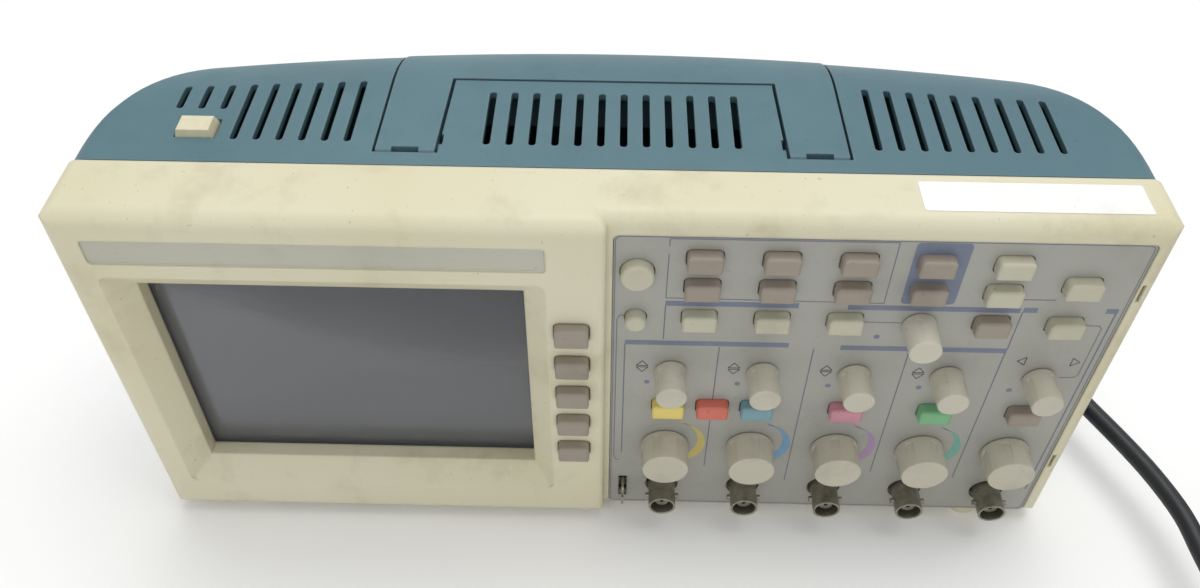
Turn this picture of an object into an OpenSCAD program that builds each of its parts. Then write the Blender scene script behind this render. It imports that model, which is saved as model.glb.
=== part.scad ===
// Four-channel bench oscilloscope with a folding handle, flip feet and mains cord.
// The Y axis runs from the front to the rear, Z is up and the bench is at Z = 0.
// Inside the modules Y is measured from the front of the display frame.

/* [Case] */
// Width of the case
case_w = 323.8; // [318:0.1:340]
// Height of the case above its feet
case_h = 145.8; // [144:0.1:160]
// Depth from the display frame to the middle of the rear wall
case_d = 117; // [114:0.5:130]
// Depth of the front case
band_d = 25.2; // [24.5:0.1:29]
// Wall thickness of the mouldings
wall = 2.5; // [2:0.1:2.8]
// Radius of the front edges
edge_r = 5.5; // [3:0.1:7]
// Radius of the corners seen from the front
corner_r = 4.5; // [3:0.1:8]
// Radius of the top rear edge
back_r = 47; // [42:0.5:50]
// Radius of the bottom rear edge
base_r = 12; // [8:0.5:20]
// Radius of the side edges of the rear case
side_r = 7; // [4:0.5:10]
// Radius of the rear corners seen from above
plan_r = 100; // [60:1:104]
// Radius of the rear wall's sweep seen from above
sweep_r = 820; // [600:10:1500]
// Open seam between the front and rear case
seam = 0.4; // [0.2:0.1:0.8]

/* [Display] */
// Distance from the case's left side to the viewing window
window_left = 17.9; // [17:0.1:26]
// Height of the viewing window
window_h = 88.5; // [80:0.5:92]
// Depth of the sloped part of the frame
slope_d = 6.7; // [5:0.1:8]
// Depth from the frame's face to the window
window_y = 12; // [10.5:0.1:13]
// Width of the slope beside the window
slope_w = 7.2; // [5:0.1:8]
// Height of the slope above the window
slope_top = 8.8; // [6:0.1:11]
// Height of the slope below the window
slope_low = 7.9; // [6:0.1:11]
// Height of the window's lower edge above the case's underside
window_z = 24.7; // [20:0.1:30]
// Distance from the window's right edge to the control panel
window_x = 25; // [24.5:0.1:28]

/* [Control panel] */
// Width of the control panel's side of the case
panel_w = 162.9; // [161:0.1:170]
// How far the panel stands behind the display frame
panel_step = 4.5; // [3:0.1:6]
// Width of the rim right of the overlay
rim_w = 6.2; // [5:0.1:8]
// Height of the rim above the overlay
rim_top = 7.2; // [5:0.1:8]
// Height of the rim below the overlay
rim_low = 2.2; // [2:0.1:3]
// Thickness of the overlay sheet
overlay_t = 1; // [0.6:0.1:1.2]
// How far the overlay lies below the rim
overlay_drop = 0.5; // [0.3:0.1:1]

/* [Keys] */
// Width of a key cap
key_w = 10.6; // [9.5:0.1:11]
// Height of a key cap
key_h = 6.6; // [6:0.1:7]
// How far a key cap stands out
key_out = 4; // [2.5:0.1:5]
// Travel of a key
key_travel = 1; // [0.5:0.1:1.2]
// Height of a screen-side key cap
soft_h = 7.6; // [6.5:0.1:9]
// Spacing of the screen-side keys
soft_pitch = 14.9; // [13:0.1:15.5]
// Diameter of the large round key
print_d = 10; // [8:0.1:11]
// Diameter of the small round key
probe_d = 6.5; // [5:0.1:7.5]
// Gap round a key in its hole
key_gap = 0.3; // [0.2:0.05:0.4]

/* [Knobs] */
// Diameter of a small knob at its base
small_d = 10.6; // [9.5:0.1:11.5]
// Length of a small knob
small_len = 11.7; // [11:0.1:12.5]
// Diameter of a large knob at its base
large_d = 16.8; // [15:0.1:17.6]
// Length of a large knob
large_len = 10.8; // [9:0.1:11]
// Diameter of a knob's shaft
shaft_d = 6; // [4:0.1:6.2]

/* [Connectors] */
// Diameter of an input connector's barrel
bnc_d = 9.7; // [9.5:0.05:10]
// How far the barrels stand out of the panel
bnc_out = 10; // [8:0.1:11]
// Opening of the overlay round a barrel
bnc_hole_d = 12; // [11.5:0.1:12.4]

/* [Handle] */
// Distance from the middle to an arm's inner side at the front
arm_in = 53; // [50:0.1:55]
// Width of an arm at the front
arm_w = 17.7; // [15:0.1:18]
// How far an arm's inner side comes inwards at the rear
arm_flare = 2.7; // [0:0.1:4]
// How far an arm's outer side comes inwards at the rear
arm_draft = 0.9; // [0:0.1:2]
// Thickness of the arms and the grip
arm_t = 10; // [8:0.1:11]
// Where the arms end at the front
arm_front = 32; // [31.8:0.1:33]
// Height of the grip's lower edge below the top
grip_h = 17; // [14:0.5:18]
// Where the grip starts
grip_front = 69.3; // [66:0.1:72]
// Gap round the handle in its pocket
arm_gap = 1; // [0.6:0.1:1.2]
// Diameter of the handle's pivot pegs
peg_d = 5; // [4:0.1:5.2]
// How much the handle stands above the case
crown = 0.4; // [0:0.1:0.8]

/* [Feet] */
// Height of the fixed feet
foot_h = 4.2; // [4:0.1:6]
// Length of a flip foot
flip_len = 24; // [18:0.5:28]
// Width of a flip foot
flip_w = 26; // [18:0.5:32]

/* [Ventilation] */
// Width of a cooling slot
slot_w = 2.3; // [1.8:0.1:2.8]
// Spacing of the cooling slots
slot_pitch = 6.9; // [6:0.1:7]

/* [Mains] */
// Distance from the middle to the mains inlet
inlet_x = 80; // [60:0.5:84]
// Height of the mains inlet above the underside
inlet_z = 31.8; // [30:0.1:38]
// Diameter of the mains cord
cord_d = 7; // [6.5:0.1:7.4]

/* [Hidden] */
$fn = 48;
fit = 0.05;
gap = 0.1;
slack = 0.3;
hair = 0.05;
half_w = case_w / 2;
top_z = foot_h + case_h;
div_x = half_w - panel_w;
panel_y = panel_step + overlay_drop;
knob_tip_y = panel_y - slack - small_len;
front_y = -(case_d + knob_tip_y) / 2;
floor_y = panel_y + overlay_t;
inner_y = floor_y + wall;
rear_y = band_d + seam;

// Overlay sheet
overlay_x0 = div_x + 2.1;
overlay_x1 = half_w - rim_w;
overlay_z0 = foot_h + rim_low;
overlay_z1 = top_z - rim_top;

// Viewing window
win_x1 = div_x - window_x;
win_x0 = window_left - half_w;
win_z0 = foot_h + window_z;
win_z1 = win_z0 + window_h;
pane_lap = 4;
pane_t = 1.2;
pane_y = window_y + gap;
lcd_y = pane_y + pane_t + gap;
lcd_t = 8;
lcd_x0 = win_x0 - 3;
lcd_x1 = win_x1 + 5;
lcd_z0 = win_z0 - 7;
lcd_z1 = win_z1 + 5;

// Places of the controls: columns spread over the panel, rows from the top or the underside
key_left = 28.7;
key_right = 22.7;
key_pitch = (panel_w - key_left - key_right) / 5;
column_left = 21.3;
column_right = 22.8;
column_pitch = (panel_w - column_left - column_right) / 4;
menu_x = [for (i = [0:5]) div_x + key_left + i * key_pitch];
chan_x = [for (i = [0:4]) div_x + column_left + i * column_pitch];
menu_z = [top_z - 16, top_z - 27.6, top_z - 41.2];
run_z = top_z - 24.2;
chan_key_z = foot_h + 60.9;
small_z = foot_h + 78.8;
level_z = top_z - 42.4;
large_z = foot_h + 38.6;
bnc_z = foot_h + 14.3;
print_x = div_x + 9.2;
print_z = top_z - 21.8;
probe_z = top_z - 41.4;
soft_x = div_x - 10.35;
soft_z = [for (i = [0:4]) foot_h + 101.9 - i * soft_pitch];
term_x = div_x + 7;
term_z = foot_h + 12.4;

// Each menu key's column and height
menu_keys = [
    [menu_x[0], menu_z[0]], [menu_x[0], menu_z[1]],
    [menu_x[1], menu_z[0]], [menu_x[1], menu_z[1]],
    [menu_x[2], menu_z[0]], [menu_x[2], menu_z[1]],
    [menu_x[3], menu_z[0]], [menu_x[3], menu_z[1]],
    [menu_x[4], menu_z[0]], [menu_x[4], menu_z[1]],
    [menu_x[5], run_z],
    [menu_x[0], menu_z[2]], [menu_x[1], menu_z[2]], [menu_x[2], menu_z[2]],
    [menu_x[4], menu_z[2]], [menu_x[5], menu_z[2]],
    [chan_x[0], chan_key_z], [(chan_x[0] + chan_x[1]) / 2, chan_key_z], [chan_x[1], chan_key_z],
    [chan_x[2], chan_key_z], [chan_x[3], chan_key_z], [chan_x[4], chan_key_z]
];
small_knobs = [
    [chan_x[0], small_z], [chan_x[1], small_z], [chan_x[2], small_z], [chan_x[3], small_z],
    [chan_x[4], small_z], [menu_x[3] + 0.6, level_z]
];
large_knobs = [for (x = chan_x) [x, large_z]];
shaft_hole_d = shaft_d + 2.4;
key_r = 1.5;
flange_lap = 1.3;
flange_t = 1.5;
flange_y = inner_y + slack;
soft_flange_y = wall + slack;

// Boards behind the panel
board_t = 1.6;
board_y = floor_y + 10;
mat_t = 1;
dome_h = board_y - mat_t - flange_y - flange_t - key_travel - slack;
board_z0 = foot_h + 27.5;
board_z1 = top_z - wall - 7.5;
board_x0 = div_x + 4;
board_x1 = half_w - 15;
soft_board_y = 10;
soft_dome_h = soft_board_y - mat_t - soft_flange_y - flange_t - key_travel - slack;
main_y = 26;
chassis_y = 31;
chassis_t = 1.2;

// Screws that hold the rear case, the chassis and the front case together
boss_x = half_w - 10.4;
boss_zs = [foot_h + 9.8, top_z - 21.5];
boss_r = 4.2;
screw_r = 1.7;
seat_y = chassis_y + chassis_t + 8;

// Handle
pivot_z = top_z - 5;
knuckle_r = 7.8;
pivot_y = arm_front + sqrt(pow(knuckle_r, 2) - pow(top_z - pivot_z, 2));
swing_r = sqrt(pow(grip_front - pivot_y, 2) + pow(5 + crown, 2));
pocket_t = arm_t + 2.5;
peg_out = 2.4;
scoop_h = grip_h + 14;
arm_out = arm_in + arm_w;
arm_rear_y = case_d - 10;

// Power button
power_x = -half_w + 35.2;
power_y = 41.4;
power_w = 11.4;
power_d = 8.8;
power_out = 2.2;
power_travel = 3;
switch_top = top_z - 27;

// Cooling slots
slot_y0 = 36.2;
slot_y1 = 66;

// Feet
flip_x = 100;
flip_y = rear_y + 9;
ear_r = 2.2;
flip_t = 2.8;
flip_z = foot_h - 0.5 - flip_t / 2;
pad_x = half_w - 26;
rear_pad_x = half_w - 44;
rear_pad_y = case_d - 37;
sweep_edge = 0.4;

// Mains inlet
inlet_w = 24.6;
inlet_h = 17;
niche_w = 36;
niche_h = 30;
niche_y = case_d - 20;
relief_y = niche_y + 51;
inlet_len = 18;
mains_z = foot_h + inlet_z;

// The cord's route from the connector to the coil, measured from the middle of the part
cord_start = [inlet_x, relief_y + front_y, mains_z];
cord_route = [
    cord_start, cord_start + [0, 8, 0], [84, 112, 35], [95, 123, 34], [111, 127, 33], [127, 123, 32],
    [141, 112, 31], [151, 98, 30], [158, 82, 28], [163, 63, 26], [167, 42, 24], [173, 17, 22],
    [180, 3, 21], [186, -9, 20], [195, -27, 20], [202, -43, 20], [207, -60, 20], [209, -76, 19],
    [213, -92, 16], [222, -104, 11], [238, -113, 6], [256, -116, 4], [272, -116, 3.5],
    [287, -116, 3.5]
];
cord_sides = 10;
coil_mid = [294, -60.4];
coil_turns = 2.875;
coil_in = 28;
coil_pitch = 9.6;
coil_lift = 0.5;
coil_rings = 24;
cord_lead = 20;
relief_len = 20;
plug_len = 31;
coil_sides = 6;
coil_out = coil_in + coil_turns * coil_pitch;

// ---- Shapes ----

// A flat shape in X and Z, given depth from y0 to y1
module along_y(y0, y1) {
    translate([0, y1, 0]) rotate([90, 0, 0]) linear_extrude(y1 - y0) children();
}

// A flat shape in Y and Z, given width from x0 to x1
module along_x(x0, x1) {
    translate([x0, 0, 0]) rotate([90, 0, 90]) linear_extrude(x1 - x0) children();
}

module box(x0, x1, y0, y1, z0, z1) {
    translate([x0, y0, z0]) cube([x1 - x0, y1 - y0, z1 - z0]);
}

// A rod along Y
module rod_y(x, z, y0, y1, r) {
    translate([x, y1, z]) rotate([90, 0, 0]) cylinder(r = r, h = y1 - y0);
}

// A rod along X
module rod_x(y, z, x0, x1, r) {
    translate([x0, y, z]) rotate([0, 90, 0]) cylinder(r = r, h = x1 - x0);
}

// What a rounded corner takes away: x and y are the corner, sx and sy point outwards
module corner_bite(x, y, sx, sy, r) {
    if (r > 0) difference() {
        translate([x + (sx > 0 ? -r : -1), y + (sy > 0 ? -r : -1)]) square(r + 1);
        translate([x - sx * r, y - sy * r]) circle(r);
    }
}

// The same with the round set a hair outwards, so that it crosses the faces instead of touching them
module edge_bite(x, y, sx, sy, r) {
    difference() {
        translate([x + (sx > 0 ? -r : -2), y + (sy > 0 ? -r : -2)]) square(r + 2);
        translate([x - sx * (r - hair), y - sy * (r - hair)]) circle(r, $fn = 24);
    }
}

// A rectangle with its own radius at each corner: lower left, lower right, upper right, upper left
module plate(x0, x1, y0, y1, r) {
    difference() {
        translate([x0, y0]) square([x1 - x0, y1 - y0]);
        corner_bite(x0, y0, -1, -1, r[0]);
        corner_bite(x1, y0, 1, -1, r[1]);
        corner_bite(x1, y1, 1, 1, r[2]);
        corner_bite(x0, y1, -1, 1, r[3]);
    }
}

module round_plate(x0, x1, y0, y1, r) {
    plate(x0, x1, y0, y1, [r, r, r, r]);
}

// A block with rounded sides along Y and rounded front edges
module soft_block(x, z, w, h, y0, y1, r, r_front) {
    intersection() {
        along_y(y0, y1) round_plate(x - w / 2, x + w / 2, z - h / 2, z + h / 2, r);
        along_x(x - w, x + w) plate(y0, y1 + 1, z - h / 2, z + h / 2, [r_front, 0, 0, r_front]);
        translate([0, 0, z - h]) linear_extrude(2 * h)
            plate(x - w / 2, x + w / 2, y0, y1 + 1, [r_front, r_front, 0, 0]);
    }
}

// ---- Case ----

// One side of the front case as a block, set in by g all round and starting at y0
module front_block(x0, x1, y0, g, r_left, r_right) {
    z0 = foot_h + g;
    z1 = top_z - g;
    r = max(edge_r - g, 0.5);
    c = max(corner_r - g, 0.5);
    intersection() {
        along_y(y0, band_d + 1) plate(x0, x1, z0, z1,
            [r_left > 0 ? c : 0, r_right > 0 ? c : 0, r_right > 0 ? c : 0, r_left > 0 ? c : 0]);
        along_x(x0, x1) plate(y0, band_d + 2, z0, z1, [r, 0, 0, r]);
        translate([0, 0, z0]) linear_extrude(z1 - z0)
            plate(x0, x1, y0, band_d + 2, [r_left, r_right, 0, 0]);
    }
}

module front_body() {
    intersection() {
        union() {
            front_block(-half_w, div_x, 0, 0, edge_r, 2);
            front_block(div_x - 8, half_w, panel_step, 0, 0, edge_r);
        }
        linear_extrude(top_z + 1) intersection() {
            rear_plan(0);
            translate([-half_w, 0]) square([case_w, band_d]);
        }
    }
}

module front_cavity() {
    box(-half_w + wall, div_x - wall, wall, band_d + 1, foot_h + wall, top_z - wall);
    box(div_x - wall - 1, half_w - wall, inner_y, band_d + 1, foot_h + wall, top_z - wall);
}

// The frame that slopes in to the window, with its walls moved out by g
module frame_funnel(g, y1) {
    intersection() {
        linear_extrude(top_z) polygon([
            [win_x0 - slope_w - g, -1], [win_x0 - slope_w - g, 0], [win_x0 - g, slope_d], [win_x0 - g, y1],
            [win_x1 + g, y1], [win_x1 + g, slope_d], [win_x1 + slope_w + g, 0], [win_x1 + slope_w + g, -1]]);
        along_x(-half_w, half_w) polygon([
            [-1, win_z0 - slope_low - g], [0, win_z0 - slope_low - g], [slope_d, win_z0 - g], [y1, win_z0 - g],
            [y1, win_z1 + g], [slope_d, win_z1 + g], [0, win_z1 + slope_top + g], [-1, win_z1 + slope_top + g]]);
        along_y(-2, y1 + 1) round_plate(win_x0 - slope_w - g, win_x1 + slope_w + g,
            win_z0 - slope_low - g, win_z1 + slope_top + g, 3.5 + g);
    }
}

module overlay_outline(g) {
    round_plate(overlay_x0 - g, overlay_x1 + g, overlay_z0 - g, overlay_z1 + g, 2);
}

// Every opening for a key, knob or connector, through the panel from y0 to y1
module control_holes(y0, y1) {
    for (k = menu_keys) along_y(y0, y1) round_plate(
        k[0] - key_w / 2 - key_gap, k[0] + key_w / 2 + key_gap,
        k[1] - key_h / 2 - key_gap, k[1] + key_h / 2 + key_gap, key_r + key_gap);
    rod_y(print_x, print_z, y0, y1, print_d / 2 + key_gap);
    rod_y(print_x, probe_z, y0, y1, probe_d / 2 + key_gap);
    for (k = small_knobs) rod_y(k[0], k[1], y0, y1, shaft_hole_d / 2);
    for (k = large_knobs) rod_y(k[0], k[1], y0, y1, shaft_hole_d / 2);
    for (x = chan_x) rod_y(x, bnc_z, y0, y1, bnc_hole_d / 2);
    along_y(y0, y1) round_plate(term_x - 1.5, term_x + 1.5, term_z - 6.2, term_z + 6.2, 0.5);
}

module soft_holes(y0, y1) {
    for (z = soft_z) along_y(y0, y1) round_plate(
        soft_x - key_w / 2 - key_gap, soft_x + key_w / 2 + key_gap,
        z - soft_h / 2 - key_gap, z + soft_h / 2 + key_gap, key_r + key_gap);
}

module front_case() {
    color("#d6d2b8") translate([0, front_y, 0]) difference() {
        union() {
            difference() {
                front_body();
                front_cavity();
            }
            intersection() {
                front_body();
                frame_funnel(wall, window_y);
            }
            for (s = [-1, 1], z = boss_zs)
                rod_y(s * boss_x, z, s < 0 ? wall / 2 : inner_y - wall / 2, chassis_y - gap, boss_r);
            for (s = [-1, 1]) rod_foot(s * pad_x, 13);
        }
        frame_funnel(0, window_y + 1);
        along_y(-1, 0.5) round_plate(win_x0 - slope_w - 0.5, win_x1 + slope_w + 0.5,
            win_z1 + slope_top + 5.4, win_z1 + slope_top + 14.8, 1.5);
        along_y(panel_step - 1, floor_y) overlay_outline(0.2);
        control_holes(floor_y - 1, inner_y + 1);
        soft_holes(-1, wall + 1);
        for (s = [-1, 1], z = boss_zs) rod_y(s * boss_x, z, chassis_y - 20, chassis_y + 1, screw_r + fit);
        for (z = [foot_h + 34, top_z - 26.8]) box(overlay_x1 + 0.9, overlay_x1 + 2.1,
            panel_step - 1, inner_y + 1, z - 3.5, z + 3.5);
    }
}

// A fixed foot under the case
module rod_foot(x, y) {
    translate([x, y, 0]) cylinder(r1 = 6, r2 = 7, h = foot_h + wall / 2);
}

module front_overlay() {
    color("#a5a49c") translate([0, front_y, 0]) difference() {
        along_y(panel_y, floor_y - gap / 2) overlay_outline(0);
        control_holes(panel_y - 1, floor_y + 1);
    }
}

// The rear case's outline seen from above, moved out by g; its middle runs out past the sweep
module rear_plan(g) {
    w = half_w + g;
    r = plan_r + g;
    corner_y = case_d - sweep_r + sqrt(pow(sweep_r - plan_r, 2) - pow(half_w - plan_r, 2)) + sweep_edge;
    translate([-w, 0]) square([2 * w, corner_y]);
    for (s = [-1, 1]) translate([s * (w - r), corner_y]) circle(r, $fn = 72);
    translate([r - w, corner_y - 1]) square([2 * (w - r), case_d]);
}

// The rear case's side profile, moved out by g
module rear_side(g) {
    plate(0, case_d + g, foot_h - g, top_z + g, [0, max(base_r + g, 1), back_r + g, 0]);
}

// The rear case as a solid body, moved out by g
module rear_body(g) {
    intersection() {
        translate([0, case_d - sweep_r, 0]) rotate([0, 0, 75]) rotate_extrude(angle = 30, $fn = 144)
            translate([sweep_r - case_d, 0]) rear_side(g, $fn = 32);
        translate([0, 0, foot_h - g - 1]) linear_extrude(case_h + 2 * g + 2) rear_plan(g);
        along_y(-1, case_d + 2) difference() {
            translate([-half_w - g - 1, foot_h - g - 1]) square([case_w + 2 * g + 2, case_h + 2 * g + 2]);
            for (s = [-1, 1]) {
                edge_bite(s * (half_w + g), top_z + g, s, 1, max(side_r + g, 1));
                edge_bite(s * (half_w + g), foot_h - g, s, -1, max(side_r + g, 1));
            }
        }
    }
}

// The handle's outline seen from above, moved out by g at the sides
module handle_plan(g) {
    for (s = [-1, 1]) polygon([
        [s * (arm_in - g), 0], [s * (arm_out + g), 0], [s * (arm_out + g), arm_front],
        [s * (arm_out - arm_draft + g), arm_rear_y], [s * (arm_out - arm_draft + g), case_d + 9],
        [s * (arm_in - arm_flare - g), case_d + 9], [s * (arm_in - arm_flare - g), arm_rear_y],
        [s * (arm_in - g), arm_front]]);
}

// The same with the grip between the arms
module grip_plan(g) {
    handle_plan(g);
    translate([-arm_in, pivot_y]) square([2 * arm_in, case_d + 9 - pivot_y]);
}

// The handle's zone in the case: radius r at the knuckle, drop below the top at the rear,
// and inner radius r_in of the part between the arms
module handle_zone(g, r, drop, r_in) {
    intersection() {
        union() {
            along_x(-half_w, half_w) translate([pivot_y, top_z - drop]) square([case_d, drop + 9]);
            rod_x(pivot_y, pivot_z, -half_w, half_w, r);
        }
        translate([0, 0, top_z - drop - 1]) linear_extrude(drop + 9) handle_plan(g);
    }
    intersection() {
        along_x(-half_w, half_w) difference() {
            translate([pivot_y, top_z - drop]) square([case_d, drop + 9]);
            translate([pivot_y, pivot_z]) circle(r_in, $fn = 64);
        }
        translate([0, 0, top_z - drop - 1]) linear_extrude(drop + 9) grip_plan(g);
    }
}

// The pocket for the handle, with its floor and walls moved by g
module handle_pocket(g) {
    difference() {
        handle_zone(arm_gap + g, knuckle_r + 0.35 + g, scoop_h + g, swing_r - 0.6 - g);
        difference() {
            rear_body(-pocket_t - g);
            rod_x(pivot_y, pivot_z, -half_w, half_w, knuckle_r + 0.35 + g);
        }
    }
}

module vent_slots() {
    for (i = [0:11]) slot((i - 5.5) * slot_pitch, slot_y0 - 0.4, slot_y1 - 3.4);
    for (s = [-1, 1], i = [0:8]) {
        near_button = s < 0 && i > 5;
        slot(s * (arm_out + 9.3 + i * slot_pitch), near_button ? slot_y0 + 15 : slot_y0, slot_y1 + 1.5 - 0.55 * i);
    }
}

// One cooling slot through the top
module slot(x, y0, y1) {
    translate([0, 0, top_z - 3 * wall]) linear_extrude(4 * wall) union() {
        translate([x - slot_w / 2, y0 + slot_w / 2]) square([slot_w, y1 - y0 - slot_w]);
        translate([x, y0 + slot_w / 2]) circle(slot_w / 2, $fn = 16);
        translate([x, y1 - slot_w / 2]) circle(slot_w / 2, $fn = 16);
    }
}

module flip_ears() {
    for (s = [-1, 1], e = [-1, 1]) {
        x = s * flip_x + e * (flip_w / 2 + 2.2 + 0.2);
        along_x(x - 2, x + 2) union() {
            translate([flip_y, flip_z]) circle(ear_r);
            translate([flip_y - ear_r, flip_z]) square([2 * ear_r, foot_h + 1 - flip_z]);
        }
    }
}

// The lip that slides into the front case, with the shoulder that joins it to the rear case
module case_lip() {
    difference() {
        intersection() {
            union() {
                along_y(band_d - 3, rear_y + 2) lip_outline(wall + gap);
                along_y(rear_y, rear_y + 2) lip_outline(0);
            }
            rear_body(0);
        }
        along_y(band_d - 4, rear_y + 3) lip_outline(wall + 1.4);
        for (s = [-1, 1], z = boss_zs) rod_y(s * boss_x, z, 0, case_d, boss_r + 0.5);
    }
}

module lip_outline(g) {
    translate([-half_w + g, foot_h + g]) square([case_w - 2 * g, case_h - 2 * g]);
}

module rear_case() {
    color("#5f7f88") translate([0, front_y, 0]) difference() {
        union() {
            difference() {
                intersection() {
                    rear_body(0);
                    box(-half_w, half_w, rear_y, case_d + 1, 0, top_z + 1);
                }
                rear_body(-wall);
            }
            intersection() {
                rear_body(0);
                union() {
                    handle_pocket(wall);
                    for (s = [-1, 1], z = boss_zs)
                        rod_y(s * boss_x, z, chassis_y + chassis_t + gap, case_d, boss_r + 1);
                    box(inlet_x - niche_w / 2 - wall, inlet_x + niche_w / 2 + wall, niche_y - wall, case_d + 1,
                        mains_z - niche_h / 2 - wall, mains_z + niche_h / 2 + wall);
                    for (s = [-1, 1]) box(s * 62 - 4, s * 62 + 4, rear_y + 2, 50, foot_h, foot_h + 4);
                }
            }
            case_lip();
            for (s = [-1, 1]) rod_foot(s * rear_pad_x, rear_pad_y);
            flip_ears();
        }
        handle_pocket(0);
        vent_slots();
        for (s = [-1, 1], z = boss_zs) {
            rod_y(s * boss_x, z, 0, case_d, screw_r + slack);
            rod_y(s * boss_x, z, seat_y, case_d + 2, boss_r - 0.5);
        }
        for (s = [-1, 1]) {
            // bore and entry notch for the handle's peg
            rod_x(pivot_y, pivot_z, s < 0 ? -arm_in : arm_in - 4, s < 0 ? -arm_in + 4 : arm_in, peg_d / 2 + fit);
            box(s * (arm_in - arm_gap) - 1, s * (arm_in - arm_gap) + 1, pivot_y - peg_d / 2, pivot_y + peg_d / 2,
                pivot_z + peg_d / 2 + 0.2, top_z + 1);
            // bores for the flip foot's pegs
            rod_x(flip_y, flip_z, s * flip_x - flip_w / 2 - 3, s * flip_x + flip_w / 2 + 3, 1.1 + fit);
        }
        box(power_x - power_w / 2 - slack, power_x + power_w / 2 + 1, power_y - power_d / 2 - slack,
            power_y + power_d / 2 + slack, top_z - 2 * wall, top_z + 1);
        box(inlet_x - niche_w / 2, inlet_x + niche_w / 2, niche_y, case_d + 1,
            mains_z - niche_h / 2, mains_z + niche_h / 2);
        box(inlet_x - inlet_w / 2 - 2, inlet_x + inlet_w / 2 + 2, niche_y - wall - 1, niche_y + 1,
            mains_z - inlet_h / 2 - 2, mains_z + inlet_h / 2 + 2);
    }
}

// ---- Display ----

module display_window() {
    color("#6a6a70", 0.6) translate([0, front_y, 0])
        box(win_x0 - pane_lap, win_x1 + pane_lap, pane_y, pane_y + pane_t, win_z0 - pane_lap, win_z1 + pane_lap);
}

module display_module() {
    color("#4c4d52") translate([0, front_y, 0]) {
        // metal frame
        difference() {
            box(lcd_x0, lcd_x1, lcd_y, lcd_y + lcd_t, lcd_z0, lcd_z1);
            box(win_x0 - 1, win_x1 + 1, lcd_y - 1, lcd_y + 3, win_z0 - 1, win_z1 + 1);
        }
        // liquid crystal panel
        box(win_x0 - 1 + gap, win_x1 + 1 - gap, lcd_y + 0.4, lcd_y + 3 - gap, win_z0 - 1 + gap, win_z1 + 1 - gap);
        // driver board on the back
        box(lcd_x0 + 12, lcd_x1 - 12, lcd_y + lcd_t, lcd_y + lcd_t + 1.4, lcd_z0 + 10, lcd_z1 - 10);
    }
}

// ---- Inside ----

module chassis() {
    post_y = lcd_y + lcd_t + gap;
    color("#b9bcbc") translate([0, front_y, 0]) difference() {
        union() {
            along_y(chassis_y, chassis_y + chassis_t) round_plate(-half_w + wall + 2, half_w - wall - 2,
                foot_h + wall + 2.5, top_z - wall - 13, 3);
            // tray under the power supply
            box(20, 122, chassis_y, 88, foot_h + wall + 2.5, foot_h + wall + 2.5 + chassis_t);
            // posts for the display and the main board
            for (x = [lcd_x0 + 4, lcd_x1 - 4], z = [lcd_z0 + 4, lcd_z1 - 4]) rod_y(x, z, post_y, chassis_y, 3);
            for (x = [div_x + 12, half_w - 22], z = [foot_h + 32, foot_h + 112])
                rod_y(x, z, main_y + board_t + gap, chassis_y, 2.5);
            // posts for the power supply
            for (x = [32, 116], y = [48, 84])
                translate([x, y, foot_h + wall + 3]) cylinder(r = 2.5, h = 6.6 - gap);
            // shelf for the power switch
            box(power_x - 9, power_x + 9, chassis_y, power_y + 9, switch_top - 21.4, switch_top - 20.1);
        }
        for (s = [-1, 1], z = boss_zs) rod_y(s * boss_x, z, 0, case_d, screw_r + slack);
        // cable windows
        along_y(chassis_y - 1, chassis_y + 3) round_plate(-120, -60, foot_h + 50, foot_h + 95, 4);
        along_y(chassis_y - 1, chassis_y + 3) round_plate(30, 110, foot_h + 55, foot_h + 95, 4);
    }
}

// A rotary encoder's body with its shaft bore
module encoder(x, z) {
    difference() {
        box(x - 5.8, x + 5.8, inner_y + 0.9, board_y + 0.2, z - 5.8, z + 5.8);
        rod_y(x, z, 0, board_y - 1, shaft_d / 2 + fit);
    }
}

module front_panel_board() {
    color("#2f6b46") translate([0, front_y, 0]) {
        union() {
            along_y(board_y, board_y + board_t) round_plate(board_x0, board_x1, board_z0, board_z1, 1);
            for (k = small_knobs) encoder(k[0], k[1]);
            for (k = large_knobs) encoder(k[0], k[1]);
            box(board_x0 + 40, board_x0 + 66, board_y + 1, main_y - gap, board_z0 + 56, board_z0 + 62);
        }
        box(win_x1 + wall + slack, div_x - wall - slack, soft_board_y, soft_board_y + 1.2,
            soft_z[4] - 9, soft_z[0] + 9);
    }
}

module main_board() {
    color("#275c3c") translate([0, front_y, 0]) difference() {
        union() {
            along_y(main_y, main_y + board_t) round_plate(div_x + 4, half_w - 15.2, foot_h + 4.5, foot_h + 122, 1);
            // shielded chips and the processor, on both faces
            for (i = [0:3]) box(chan_x[i] - 8, chan_x[i] + 8, main_y - 5, main_y, foot_h + 30, foot_h + 50);
            box(div_x + 36, div_x + 62, main_y + 1, main_y + board_t + 2.2, foot_h + 62, foot_h + 88);
            box(div_x + 84, div_x + 104, main_y + 1, main_y + board_t + 2.2, foot_h + 66, foot_h + 86);
            for (i = [0:2]) box(div_x + 40 + i * 26, div_x + 54 + i * 26, main_y - 2.6, main_y + 1,
                foot_h + 96, foot_h + 108);
        }
        for (i = [0:3]) box(chan_x[i] - 6, chan_x[i] + 6, main_y - 6, main_y - 4.6, foot_h + 32, foot_h + 48);
    }
}

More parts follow.
